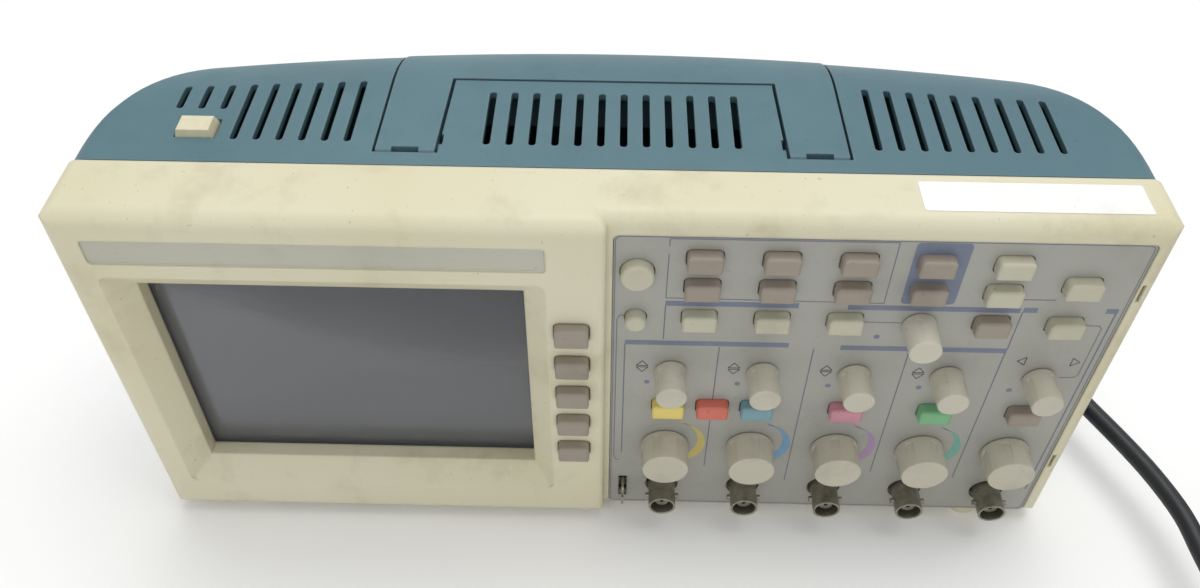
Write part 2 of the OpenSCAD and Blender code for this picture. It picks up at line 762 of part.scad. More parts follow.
module power_supply() {
    base = foot_h + wall + 9.6;
    color("#7d6a3f") translate([0, front_y, 0]) {
        union() {
            box(24, 124, 42, 88, base, base + board_t);
            box(28, 56, 50, 80, base + 1, base + 30);
            box(64, 92, 46, 58, base + 1, base + 24);
            for (i = [0:2]) translate([101 + i * 9, 76, base + 1]) cylinder(r = 4, h = 20);
            // heat sink
            for (i = [0:4]) box(100 + i * 4, 101.6 + i * 4, 46, 66, base + 1, base + 22);
            box(100, 117.6, 46, 48, base + 1, base + 22);
        }
        // mains inlet
        difference() {
            union() {
                box(inlet_x - inlet_w / 2 - 1.8, inlet_x + inlet_w / 2 + 1.8, niche_y - inlet_len - 3, niche_y + gap,
                    mains_z - inlet_h / 2 - 1.8, mains_z + inlet_h / 2 + 1.8);
                box(inlet_x - inlet_w / 2 - 4.5, inlet_x + inlet_w / 2 + 4.5, niche_y + gap, niche_y + 2,
                    mains_z - inlet_h / 2 - 4.5, mains_z + inlet_h / 2 + 4.5);
            }
            box(inlet_x - inlet_w / 2, inlet_x + inlet_w / 2, niche_y - inlet_len, niche_y + 3,
                mains_z - inlet_h / 2, mains_z + inlet_h / 2);
        }
        for (i = [-1, 0, 1]) box(inlet_x + i * 7 - 1, inlet_x + i * 7 + 1, niche_y - inlet_len - 1, niche_y - 3,
            mains_z - 2 + (i == 0 ? 3.5 : 0), mains_z + 2 + (i == 0 ? 3.5 : 0));
        // power switch under the button
        box(power_x - 7, power_x + 7, power_y - 7, power_y + 7, switch_top - 20, switch_top);
    }
}

// One bayonet connector from its board to its mouth
module bnc(x) {
    tip = panel_y - bnc_out;
    difference() {
        union() {
            rod_y(x, bnc_z, tip, inner_y + 5, bnc_d / 2);
            box(x - 7, x + 7, inner_y + 4, main_y - gap, bnc_z - 7, bnc_z + 7);
            rod_x(tip + 4.6, bnc_z, x - bnc_d / 2 - 1.1, x + bnc_d / 2 + 1.1, 1);
        }
        rod_y(x, bnc_z, tip - 1, tip + 8.5, bnc_d / 2 - 0.75);
    }
    difference() {
        rod_y(x, bnc_z, tip + 2.2, tip + 8.6, 2.4);
        rod_y(x, bnc_z, tip + 2, tip + 7, 0.7);
    }
}

// Two flat probe terminals, one above the other
module probe_lug(z) {
    difference() {
        along_x(term_x - 0.4, term_x + 0.4) plate(panel_y - 5.5, board_y, z - 2.2, z + 2.2, [1.6, 0, 0, 1.6]);
        rod_x(panel_y - 2.8, z, term_x - 1, term_x + 1, 1.1);
    }
    box(term_x - 2.6, term_x + 2.6, inner_y + slack, inner_y + 4, z - 2.2, z + 2.2);
}

module front_connectors() {
    color("#a8a498") translate([0, front_y, 0]) {
        for (x = chan_x) bnc(x);
        probe_lug(term_z - 3);
        probe_lug(term_z + 3);
        // carrier that holds both lugs
        box(term_x - 2.6, term_x + 2.6, inner_y + 4 + gap, inner_y + 5.5, term_z - 6, term_z + 6);
    }
}

module mat_dome(x, z, r, y1, h) {
    translate([x, y1, z]) rotate([90, 0, 0]) cylinder(r1 = r, r2 = r * 0.7, h = h);
}

module keypad_mats() {
    color("#8f8f88") translate([0, front_y, 0]) {
        difference() {
            union() {
                along_y(board_y - mat_t, board_y - gap) round_plate(board_x0, board_x1, board_z0, board_z1, 1);
                for (k = menu_keys) mat_dome(k[0], k[1], 2.8, board_y - mat_t + 0.1, dome_h);
                mat_dome(print_x, print_z, 2.8, board_y - mat_t + 0.1, dome_h);
                mat_dome(print_x, probe_z, 2.8, board_y - mat_t + 0.1, dome_h);
            }
            for (k = small_knobs) box(k[0] - 6.1, k[0] + 6.1, 0, 30, k[1] - 6.1, k[1] + 6.1);
            for (k = large_knobs) box(k[0] - 6.1, k[0] + 6.1, 0, 30, k[1] - 6.1, k[1] + 6.1);
        }
        box(win_x1 + wall + slack, div_x - wall - slack, soft_board_y - mat_t, soft_board_y - gap,
            soft_z[4] - 9, soft_z[0] + 9);
        for (z = soft_z) mat_dome(soft_x, z, 2.8, soft_board_y - mat_t + 0.1, soft_dome_h);
    }
}

// The four long screws
module case_screws() {
    color("#8c8f90") translate([0, front_y, 0]) for (s = [-1, 1], z = boss_zs) difference() {
        union() {
            rod_y(s * boss_x, z, chassis_y - 16, seat_y + gap, screw_r);
            rod_y(s * boss_x, z, seat_y + gap, seat_y + 2.6, 3.3);
        }
        translate([s * boss_x - 0.5, seat_y + 1.3, z - 2.2]) cube([1, 2, 4.4]);
        translate([s * boss_x - 2.2, seat_y + 1.3, z - 0.5]) cube([4.4, 2, 1]);
    }
}

// ---- Moving parts ----

// A key with its cap, its stop flange behind the panel and its plunger
module menu_key(i, tint) {
    x = menu_keys[i][0];
    z = menu_keys[i][1];
    color(tint) translate([0, front_y, 0]) union() {
        soft_block(x, z, key_w, key_h, panel_y - key_out, flange_y + 0.5, key_r, 1.1);
        along_y(flange_y, flange_y + flange_t)
            round_plate(x - key_w / 2 - flange_lap, x + key_w / 2 + flange_lap,
                z - key_h / 2 - flange_lap, z + key_h / 2 + flange_lap, 1);
    }
}

module soft_key(i) {
    z = soft_z[i];
    color("#a89a8c") translate([0, front_y, 0]) union() {
        soft_block(soft_x, z, key_w, soft_h, -key_out + 0.2, soft_flange_y + 0.5, key_r, 1.1);
        along_y(soft_flange_y, soft_flange_y + flange_t)
            round_plate(soft_x - key_w / 2 - flange_lap, soft_x + key_w / 2 + flange_lap,
                z - soft_h / 2 - flange_lap, z + soft_h / 2 + flange_lap, 1);
    }
}

// A round key, turned about its own axis
module round_key(z, d) {
    r = d / 2;
    out = key_out + flange_y - panel_y;
    color("#cfccb4") translate([print_x, front_y + flange_y + flange_t, z]) rotate([90, 0, 0]) rotate_extrude()
        difference() {
            union() {
                square([r + flange_lap, flange_t]);
                plate(0, r, 0, flange_t + out, [0, 0, 1.2, 0]);
            }
        }
}

// A knob with its shaft: tapered grip, rounded rim and n flutes that run out at the front
module knob(x, z, d, len, n, turn) {
    r = d / 2;
    tip = r * 0.93;
    y0 = panel_y - slack;
    color("#c9c6b2") translate([x, front_y + y0, z]) rotate([90, 0, 0]) rotate([0, 0, turn]) difference() {
        union() {
            rotate_extrude($fn = 96) intersection() {
                polygon([[0, 0], [r, 0], [tip, len], [0, len]]);
                plate(-1, r, 0, len, [0, 0.4, 1.2, 0]);
            }
            translate([0, 0, -7]) cylinder(r = shaft_d / 2, h = 8);
        }
        for (i = [0:n - 1]) rotate([0, 0, i * 360 / n]) {
            translate([r * 0.93, 0, 0]) rotate([0, 90, 0]) linear_extrude(2) union() {
                translate([-len - 1, -d * 0.085]) square([len - 2, d * 0.17]);
                translate([-3, 0]) circle(d * 0.085);
            }
        }
    }
}

module handle() {
    peg_x = arm_in - arm_flare * (pivot_y - arm_front) / (arm_rear_y - arm_front);
    color("#5f7f88") translate([0, front_y, 0]) difference() {
        union() {
            intersection() {
                rear_body(crown);
                difference() {
                    handle_zone(0, knuckle_r, grip_h, swing_r);
                    difference() {
                        rear_body(-arm_t);
                        rod_x(pivot_y, pivot_z, -half_w, half_w, knuckle_r);
                    }
                }
            }
            for (s = [-1, 1]) rod_x(pivot_y, pivot_z, s < 0 ? -peg_x - 2 : peg_x - peg_out,
                s < 0 ? -peg_x + peg_out : peg_x + 2, peg_d / 2);
        }
        for (s = [-1, 1]) box(s * (arm_in + arm_w / 2) - 4.1, s * (arm_in + arm_w / 2) + 4.1,
            arm_front - 9, arm_front + 1.8, top_z - 2.5, top_z + 2);
    }
}

module power_button() {
    z1 = top_z + power_out;
    color("#d9d4bc") translate([0, front_y, 0]) union() {
        intersection() {
            along_y(power_y - power_d / 2, power_y + power_d / 2) polygon([
                [power_x - power_w / 2, top_z - 5], [power_x + power_w / 2, top_z - 5],
                [power_x + power_w / 2, top_z - 1], [power_x + power_w / 2 - 0.8, z1],
                [power_x - power_w / 2 + 0.8, z1], [power_x - power_w / 2, top_z - 1]]);
            along_x(power_x - power_w, power_x + power_w) polygon([
                [power_y - power_d / 2, top_z - 5], [power_y + power_d / 2, top_z - 5],
                [power_y + power_d / 2, top_z - 1], [power_y + power_d / 2 - 1.2, z1],
                [power_y - power_d / 2 + 0.6, z1], [power_y - power_d / 2, top_z - 1]]);
        }
        box(power_x - power_w / 2 - 1.5, power_x + power_w / 2 + 1.5, power_y - power_d / 2 - 1.5,
            power_y + power_d / 2 + 1.5, top_z - wall - slack - 2, top_z - wall - slack);
        translate([power_x, power_y, switch_top + power_travel + slack])
            cylinder(r = 2.5, h = top_z - wall - 1 - switch_top - power_travel - slack);
    }
}

module flip_foot(s) {
    x = s * flip_x;
    color("#3c4a4e") translate([0, front_y, 0]) union() {
        along_x(x - flip_w / 2, x + flip_w / 2) union() {
            translate([flip_y, flip_z]) circle(flip_t / 2);
            plate(flip_y, flip_y + flip_len, flip_z - flip_t / 2, flip_z + flip_t / 2, [0, 1, 1, 0]);
        }
        rod_x(flip_y, flip_z, x - flip_w / 2 - 2.6, x + flip_w / 2 + 2.6, 1.1);
    }
}

// ---- Cord ----

function unit(v) = v / norm(v);

// A ring of n points round p, square to the direction t
function ring(p, t, r, n) =
    let (side = unit([-t[1], t[0], 0]), up = cross(t, side))
    [for (k = [0:n - 1]) p + r * (cos(360 * k / n) * side + sin(360 * k / n) * up)];

// The path's direction at point i
function heading(path, i) =
    unit(path[min(i + 1, len(path) - 1)] - path[max(i - 1, 0)]);

// One unbroken tube along the path, closed at both ends
module tube(path, r, n) {
    count = len(path);
    points = [for (i = [0:count - 1]) each ring(path[i], heading(path, i), r, n)];
    sides = [for (i = [0:count - 2], k = [0:n - 1]) each [
        [i * n + k, (i + 1) * n + k, (i + 1) * n + (k + 1) % n],
        [i * n + k, (i + 1) * n + (k + 1) % n, i * n + (k + 1) % n]]];
    first = [for (k = [1:n - 2]) [0, k, k + 1]];
    last = [for (k = [1:n - 2]) [(count - 1) * n, (count - 1) * n + k + 1, (count - 1) * n + k]];
    polyhedron(points, concat(first, sides, last));
}

module power_cord() {
    color("#15171a") tube(cord_route, cord_d / 2, cord_sides);
}

// Angle, radius and height along the coil: in, up half a turn, and out again
coil_steps = (2 * coil_turns + 0.5) * coil_rings;
function coil_r(i) =
    let (a = i / coil_rings)
    a < coil_turns ? coil_out - a * coil_pitch
    : a < coil_turns + 0.5 ? coil_in
    : coil_in + (a - coil_turns - 0.5) * coil_pitch;
function coil_z(i) =
    let (a = (i / coil_rings - coil_turns) / 0.5, s = min(max(a, 0), 1))
    cord_d / 2 + (cord_d + coil_lift) * s;
function coil_point(i) =
    let (a = -90 + 360 * i / coil_rings)
    [coil_mid[0] + coil_r(i) * cos(a), coil_mid[1] + coil_r(i) * sin(a), coil_z(i)];
coil_loops = [for (i = [0:coil_steps]) coil_point(i)];
coil_path = concat([coil_loops[0] - [cord_d, 0, 0]], coil_loops,
    [coil_loops[coil_steps] + [0, cord_lead, 0]]);

// Least gap between loops, measured at ring centres half a turn or more apart
coil_gap = min([for (i = [0:coil_steps], j = [i + coil_rings / 2:1:coil_steps])
    norm(coil_loops[i] - coil_loops[j])]) - cord_d;

module cord_coil() {
    color("#15171a") tube(coil_path, cord_d / 2, coil_sides);
    echo(coil_gap = coil_gap);
}

module cord_connector() {
    y0 = niche_y + 2.4;
    color("#1b1d20") translate([0, front_y, 0]) difference() {
        union() {
            along_y(niche_y - inlet_len + 1, y0 + 2) plate(inlet_x - inlet_w / 2 + slack, inlet_x + inlet_w / 2 - slack,
                mains_z - inlet_h / 2 + slack, mains_z + inlet_h / 2 - slack, [1, 1, 4, 4]);
            along_y(y0, y0 + 30) round_plate(inlet_x - 13.6, inlet_x + 13.6, mains_z - 9.8, mains_z + 9.8, 4);
            translate([inlet_x, y0 + 30, mains_z]) rotate([-90, 0, 0])
                cylinder(r1 = 8, r2 = 5, h = relief_y - y0 - 30);
        }
        for (i = [-1, 0, 1]) box(inlet_x + i * 7 - 1.4, inlet_x + i * 7 + 1.4, niche_y - inlet_len, niche_y - 1,
            mains_z - 2.4 + (i == 0 ? 3.5 : 0), mains_z + 2.4 + (i == 0 ? 3.5 : 0));
        for (i = [0:3]) for (s = [-1, 1]) box(inlet_x + s * 13.9 - 0.7, inlet_x + s * 13.9 + 0.7,
            y0 + 8 + i * 4, y0 + 10 + i * 4, mains_z - 7, mains_z + 7);
    }
}

module cord_plug() {
    end = coil_path[len(coil_path) - 1];
    plug_rest = end[2];
    color("#1b1d20") translate(end) rotate([0, 0, -90]) union() {
        // strain relief, body, two blades and the earth pin
        translate([-relief_len, 0, 0]) rotate([0, 90, 0]) cylinder(r1 = 6.5, r2 = 4.6, h = relief_len);
        along_x(-relief_len - plug_len, 1 - relief_len) round_plate(-14, 14, -plug_rest, plug_rest, 6);
        for (s = [-1, 1]) box(-relief_len - plug_len - 16, 1 - relief_len - plug_len,
            s * 6.35 - 0.75, s * 6.35 + 0.75, -2, 4.3);
        rod_x(0, -6.5, -relief_len - plug_len - 18, 1 - relief_len - plug_len, 2.4);
    }
}

brown = "#a0907f";
cream = "#cdc9b0";

front_case();
front_overlay();
rear_case();
display_window();
display_module();
chassis();
front_panel_board();
main_board();
power_supply();
front_connectors();
keypad_mats();
case_screws();
power_cord();
cord_coil();
cord_connector();
cord_plug();
handle();
power_button();
flip_foot(-1);  // left_flip_foot
flip_foot(1);  // right_flip_foot
soft_key(0);  // soft_key_1
soft_key(1);  // soft_key_2
soft_key(2);  // soft_key_3
soft_key(3);  // soft_key_4
soft_key(4);  // soft_key_5
round_key(print_z, print_d);  // print_key
round_key(probe_z, probe_d);  // probe_check_key
menu_key(0, brown);  // save_key
menu_key(1, brown);  // utility_key
menu_key(2, brown);  // measure_key
menu_key(3, brown);  // cursor_key
menu_key(4, brown);  // acquire_key
menu_key(5, brown);  // display_key
menu_key(6, brown);  // help_key
menu_key(7, brown);  // default_key
menu_key(8, cream);  // autoset_key
menu_key(9, cream);  // single_key
menu_key(10, cream);  // run_stop_key
menu_key(11, cream);  // trigger_view_key
menu_key(12, cream);  // force_trigger_key
menu_key(13, cream);  // half_level_key
menu_key(14, brown);  // trigger_menu_key
menu_key(15, cream);  // set_zero_key
menu_key(16, "#dcc46e");  // channel_1_key
menu_key(17, "#cf6f5f");  // math_key
menu_key(18, "#7fa3ad");  // channel_2_key
menu_key(19, "#cf93a0");  // channel_3_key
menu_key(20, "#6fa37c");  // channel_4_key
menu_key(21, brown);  // horizontal_key
knob(chan_x[0], small_z, small_d, small_len, 4, 45);  // position_1_knob
knob(chan_x[1], small_z, small_d, small_len, 4, 38);  // position_2_knob
knob(chan_x[2], small_z, small_d, small_len, 4, 52);  // position_3_knob
knob(chan_x[3], small_z, small_d, small_len, 4, 30);  // position_4_knob
knob(chan_x[4], small_z, small_d, small_len, 4, 60);  // horizontal_position_knob
knob(menu_x[3] + 0.6, level_z, small_d, small_len, 4, 20);  // trigger_level_knob
knob(chan_x[0], large_z, large_d, large_len, 6, 52);  // volts_1_knob
knob(chan_x[1], large_z, large_d, large_len, 6, 22);  // volts_2_knob
knob(chan_x[2], large_z, large_d, large_len, 6, 40);  // volts_3_knob
knob(chan_x[3], large_z, large_d, large_len, 6, 10);  // volts_4_knob
knob(chan_x[4], large_z, large_d, large_len, 6, 45);  // time_knob
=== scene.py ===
import math

import bpy
import bmesh
from mathutils import Matrix, Vector


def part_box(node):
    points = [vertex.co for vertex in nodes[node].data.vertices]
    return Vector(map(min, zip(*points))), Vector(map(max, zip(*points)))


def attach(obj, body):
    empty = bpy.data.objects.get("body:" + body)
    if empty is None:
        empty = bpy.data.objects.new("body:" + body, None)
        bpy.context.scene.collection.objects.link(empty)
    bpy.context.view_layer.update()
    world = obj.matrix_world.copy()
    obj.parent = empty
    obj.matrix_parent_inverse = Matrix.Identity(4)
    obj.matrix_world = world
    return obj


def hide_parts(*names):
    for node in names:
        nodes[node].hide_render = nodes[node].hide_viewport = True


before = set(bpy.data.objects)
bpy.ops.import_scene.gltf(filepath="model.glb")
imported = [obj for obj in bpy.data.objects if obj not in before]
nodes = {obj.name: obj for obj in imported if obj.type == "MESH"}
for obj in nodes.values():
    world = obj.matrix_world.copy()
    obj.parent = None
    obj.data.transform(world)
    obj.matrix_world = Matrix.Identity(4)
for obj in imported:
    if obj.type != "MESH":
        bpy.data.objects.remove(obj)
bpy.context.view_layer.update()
mm = 0.001


# ---------------------------------------------------------------- small helpers

def toLinear(hexColour):
    value = hexColour.lstrip("#")
    out = []
    for i in (0, 2, 4):
        c = int(value[i:i + 2], 16) / 255
        out.append(c / 12.92 if c <= 0.04045 else ((c + 0.055) / 1.055) ** 2.4)
    return (out[0], out[1], out[2], 1)


def link(obj):
    bpy.context.scene.collection.objects.link(obj)
    return obj


def meshObject(name, verts, faces, smooth=False):
    mesh = bpy.data.meshes.new(name)
    mesh.from_pydata([tuple(v) for v in verts], [], faces)
    mesh.validate()
    bm = bmesh.new()
    bm.from_mesh(mesh)
    bmesh.ops.recalc_face_normals(bm, faces=bm.faces)
    bm.to_mesh(mesh)
    bm.free()
    if smooth:
        mesh.shade_smooth()
    return link(bpy.data.objects.new(name, mesh))


# ---------------------------------------------------------------- camera

camera = {
    "position": (0.001358, -0.272701, 0.349634),
    "pitch": 46.0884,
    "yaw": -1.0607,
    "roll": 0.363,
    "lens": 31.984,
}


def makeCamera():
    pitch, yaw, roll = (math.radians(camera[k]) for k in ("pitch", "yaw", "roll"))
    forward = Vector((math.sin(yaw) * math.cos(pitch), math.cos(yaw) * math.cos(pitch), -math.sin(pitch)))
    right = Vector((math.cos(yaw), -math.sin(yaw), 0))
    up = right.cross(forward)
    r = right * math.cos(roll) + up * math.sin(roll)
    u = up * math.cos(roll) - right * math.sin(roll)
    data = bpy.data.cameras.new("camera")
    data.lens = camera["lens"]
    data.sensor_width = 36
    data.sensor_fit = "HORIZONTAL"
    data.clip_start = 0.01
    data.clip_end = 20
    obj = link(bpy.data.objects.new("camera", data))
    matrix = Matrix((r, u, -forward)).transposed().to_4x4()
    matrix.translation = Vector(camera["position"])
    obj.matrix_world = matrix
    bpy.context.scene.camera = obj


makeCamera()
print("camera ready")


# ---------------------------------------------------------------- mains cord

cord = {
    "diameter": 7.0,
    # from the connector's relief, round the right side and down to the bench
    "route": [
        (80, 93, 36), (80, 101, 36), (84, 112, 35), (95, 123, 34), (111, 127, 33), (127, 123, 32),
        (141, 112, 31), (151, 98, 30), (158, 82, 28), (163, 63, 26), (167, 42, 24), (173, 17, 22),
        (180, 3, 21), (186, -9, 20), (195, -27, 20), (202, -43, 20), (207, -60, 20), (209, -76, 19),
        (213, -92, 16), (222, -104, 11), (238, -113, 6), (256, -116, 4), (272, -116, 3.5),
        (287, -116, 3.5),
    ],
    "coilMiddle": (294, -60.4),
    "coilInside": 28,
    "coilPitch": 9.6,
    "coilTurns": 2.875,
    "lead": 20,
    "coilLift": 0.5,
    "pointsPerTurn": 24,
}


def smoothLine(points, steps):
    out = []
    for i in range(len(points) - 1):
        p0 = points[max(i - 1, 0)]
        p1, p2 = points[i], points[i + 1]
        p3 = points[min(i + 2, len(points) - 1)]
        for k in range(steps):
            t = k / steps
            out.append(0.5 * ((2 * p1) + (p2 - p0) * t + (2 * p0 - 5 * p1 + 4 * p2 - p3) * t * t
                              + (3 * p1 - p0 - 3 * p2 + p3) * t ** 3))
    out.append(points[-1])
    return out


def coilLine():
    n = cord["pointsPerTurn"]
    turns, inside, pitch = cord["coilTurns"], cord["coilInside"], cord["coilPitch"]
    d = cord["diameter"]
    cx, cy = cord["coilMiddle"]
    out = []
    for i in range(int((2 * turns + 0.5) * n) + 1):
        a = i / n
        if a < turns:
            radius = inside + (turns - a) * pitch
        elif a < turns + 0.5:
            radius = inside
        else:
            radius = inside + (a - turns - 0.5) * pitch
        climb = min(max((a - turns) / 0.5, 0), 1)
        angle = math.radians(-90 + 360 * a)
        out.append(Vector((cx + radius * math.cos(angle), cy + radius * math.sin(angle),
                           d / 2 + (d + cord["coilLift"]) * climb)))
    out.append(out[-1] + Vector((0, cord["lead"], 0)))
    return out


def makeCord():
    route = smoothLine([Vector(p) for p in cord["route"]], 4)
    line = [p * mm for p in route + coilLine()]
    curve = bpy.data.curves.new("mains_cord", "CURVE")
    curve.dimensions = "3D"
    spline = curve.splines.new("POLY")
    spline.points.add(len(line) - 1)
    for i, p in enumerate(line):
        spline.points[i].co = (p.x, p.y, p.z, 1)
        # each point carries the real radius, because a curve's bounds reach out by it
        spline.points[i].radius = cord["diameter"] / 2 * mm
    curve.bevel_depth = 1.0
    curve.bevel_resolution = 4
    curve.use_fill_caps = True
    spline.use_smooth = True
    obj = link(bpy.data.objects.new("mains_cord", curve))
    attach(obj, "case")
    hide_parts("power_cord", "cord_coil")
    return obj


mainsCord = makeCord()


# ---------------------------------------------------------------- materials

def startMaterial(name):
    mat = bpy.data.materials.new(name)
    mat.use_nodes = True
    tree = mat.node_tree
    tree.nodes.clear()
    out = tree.nodes.new("ShaderNodeOutputMaterial")
    shader = tree.nodes.new("ShaderNodeBsdfPrincipled")
    tree.links.new(shader.outputs[0], out.inputs[0])
    return mat, tree, shader


# adds one node: settings are properties, inputs are values or sockets by name or number
def add(tree, kind, settings=None, inputs=None):
    node = tree.nodes.new("ShaderNode" + kind)
    for key, value in (settings or {}).items():
        setattr(node, key, value)
    for key, value in (inputs or {}).items():
        socket = node.inputs[key]
        if isinstance(value, bpy.types.NodeSocket):
            tree.links.new(value, socket)
        else:
            socket.default_value = value
    return node


def position(tree):
    return add(tree, "TexCoord").outputs["Object"]


def ramp(tree, source, stops):
    node = add(tree, "ValToRGB", inputs={0: source})
    element = node.color_ramp.elements
    while len(element) < len(stops):
        element.new(0.5)
    for i, (at, colour) in enumerate(stops):
        element[i].position = at
        element[i].color = colour if isinstance(colour, tuple) else (colour, colour, colour, 1)
    return node.outputs[0]


def noise(tree, at, sizeMm, detail=3.0, rough=0.55):
    return add(tree, "TexNoise", inputs={"Vector": at, "Scale": 1000 / sizeMm, "Detail": detail,
                                         "Roughness": rough}).outputs["Fac"]


def mix(tree, factor, a, b, mode="MIX"):
    node = add(tree, "Mix", {"data_type": "RGBA", "blend_type": mode})
    for key, value in ((0, factor), (6, a), (7, b)):
        if isinstance(value, bpy.types.NodeSocket):
            tree.links.new(value, node.inputs[key])
        else:
            node.inputs[key].default_value = value
    return node.outputs[2]


# 0 on flat faces, 1 along edges: compares the true normal with a rounded one
def edgeMask(tree, radiusMm, low=0.02, high=0.25):
    bevel = add(tree, "Bevel", {"samples": 4}, {"Radius": radiusMm * mm})
    true = add(tree, "NewGeometry").outputs["Normal"]
    dot = add(tree, "VectorMath", {"operation": "DOT_PRODUCT"}, {0: bevel.outputs[0], 1: true})
    turned = add(tree, "Math", {"operation": "SUBTRACT"}, {0: 1.0, 1: dot.outputs["Value"]})
    return ramp(tree, turned.outputs[0], [(low, 0), (high, 1)])


def roughFrom(tree, shader, source, low, high):
    node = add(tree, "MapRange", inputs={"Value": source, "To Min": low, "To Max": high})
    tree.links.new(node.outputs[0], shader.inputs["Roughness"])


def bump(tree, shader, height, strength, distanceMm, softEdge=0.0):
    node = add(tree, "Bump", inputs={"Strength": strength, "Distance": distanceMm * mm, "Height": height})
    if softEdge:
        rounded = add(tree, "Bevel", {"samples": 6}, {"Radius": softEdge * mm})
        tree.links.new(rounded.outputs[0], node.inputs["Normal"])
    tree.links.new(node.outputs[0], shader.inputs["Normal"])


# Moulded plastic: flow mottling, specks and handling dirt, worn paler edges and a fine spark grain
def mouldedPlastic(name, base, aged, dirt="#6f6a58", grainMm=0.45, grain=0.12, rough=(0.42, 0.6),
                   edge=0.5, wear=0.25, dirtAmount=0.35, speck=0.5):
    mat, tree, shader = startMaterial(name)
    at = position(tree)
    large = ramp(tree, noise(tree, at, 90, 2), [(0.35, 0), (0.68, 1)])
    colour = mix(tree, large, toLinear(base), toLinear(aged))
    smudge = ramp(tree, noise(tree, at, 22, 5, 0.65), [(0.52, 0), (0.8, dirtAmount)])
    colour = mix(tree, smudge, colour, toLinear(dirt))
    dots = ramp(tree, noise(tree, at, 2.2, 2, 0.7), [(0.7, 0), (0.76, speck)])
    colour = mix(tree, dots, colour, toLinear(dirt))
    edges = edgeMask(tree, edge)
    worn = mix(tree, edges, (0, 0, 0, 1), (wear, wear, wear, 1))
    colour = mix(tree, worn, colour, (0.9, 0.89, 0.82, 1))
    tree.links.new(colour, shader.inputs["Base Color"])
    roughFrom(tree, shader, noise(tree, at, 14, 4), rough[0], rough[1])
    fine = noise(tree, at, grainMm, 2, 0.6)
    bump(tree, shader, fine, grain, 0.05, edge)
    shader.inputs["IOR"].default_value = 1.49
    return mat


def printedInk(name, base, patch=0.35):
    mat, tree, shader = startMaterial(name)
    at = position(tree)
    worn = ramp(tree, noise(tree, at, 3.5, 5, 0.7), [(0.5, 0), (0.85, patch)])
    paler = tuple(min(1, c * 1.5 + 0.06) for c in toLinear(base)[:3]) + (1,)
    tree.links.new(mix(tree, worn, toLinear(base), paler), shader.inputs["Base Color"])
    roughFrom(tree, shader, noise(tree, at, 6, 3), 0.4, 0.55)
    bump(tree, shader, noise(tree, at, 0.35, 2), 0.05, 0.02)
    return mat


# Plated metal: dull grey with tarnish clouds and turning marks round the barrel
def dullNickel(name):
    mat, tree, shader = startMaterial(name)
    at = position(tree)
    cloud = ramp(tree, noise(tree, at, 5, 5, 0.65), [(0.35, 0), (0.7, 1)])
    colour = mix(tree, cloud, toLinear("#a29e90"), toLinear("#7d7868"))
    stain = ramp(tree, noise(tree, at, 1.6, 4, 0.7), [(0.62, 0), (0.8, 0.7)])
    colour = mix(tree, stain, colour, toLinear("#5c574b"))
    tree.links.new(colour, shader.inputs["Base Color"])
    shader.inputs["Metallic"].default_value = 0.85
    roughFrom(tree, shader, noise(tree, at, 2.5, 4), 0.34, 0.55)
    rings = add(tree, "Mapping", inputs={"Vector": at, "Scale": (40, 900, 40)}).outputs[0]
    turned = add(tree, "TexNoise", inputs={"Vector": rings, "Scale": 3.0, "Detail": 2.0}).outputs["Fac"]
    bump(tree, shader, turned, 0.12, 0.04, 0.2)
    return mat


def clearPane(name):
    mat, tree, shader = startMaterial(name)
    at = position(tree)
    smear = ramp(tree, noise(tree, at, 40, 5, 0.7), [(0.4, 0.05), (0.75, 0.22)])
    shader.inputs["Base Color"].default_value = toLinear("#8b8c90")
    shader.inputs["Transmission Weight"].default_value = 0.75
    shader.inputs["IOR"].default_value = 1.3
    tree.links.new(smear, shader.inputs["Roughness"])
    shader.inputs["Alpha"].default_value = 0.55
    bump(tree, shader, noise(tree, at, 0.8, 2), 0.03, 0.02)
    return mat


def screenPanel(name):
    mat, tree, shader = startMaterial(name)
    at = position(tree)
    height = add(tree, "SeparateXYZ", inputs={0: at})
    # painted shade: the screen colour goes darker from z 30 mm up to z 120 mm, towards the top of the window
    painted_top_shade = add(tree, "MapRange", inputs={"Value": height.outputs[2], "From Min": 0.03, "From Max": 0.12})
    colour = mix(tree, painted_top_shade.outputs[0], toLinear("#7e7f86"), toLinear("#64656b"))
    haze = ramp(tree, noise(tree, at, 45, 4, 0.6), [(0.35, 0), (0.8, 0.3)])
    colour = mix(tree, haze, colour, toLinear("#8a8b90"))
    tree.links.new(colour, shader.inputs["Base Color"])
    roughFrom(tree, shader, noise(tree, at, 30, 4), 0.35, 0.5)
    pixels = add(tree, "TexChecker", inputs={"Vector": at, "Scale": 1400.0}).outputs["Fac"]
    bump(tree, shader, pixels, 0.04, 0.02)
    return mat


def boardGreen(name, base="#2b6242"):
    mat, tree, shader = startMaterial(name)
    at = position(tree)
    cells = add(tree, "TexVoronoi", {"feature": "DISTANCE_TO_EDGE"}, {"Vector": at, "Scale": 180.0})
    tracks = ramp(tree, cells.outputs["Distance"], [(0.02, 1), (0.06, 0)])
    colour = mix(tree, tracks, toLinear(base), toLinear("#3d8a5c"))
    tree.links.new(colour, shader.inputs["Base Color"])
    roughFrom(tree, shader, noise(tree, at, 5, 3), 0.25, 0.42)
    bump(tree, shader, tracks, 0.2, 0.05)
    return mat


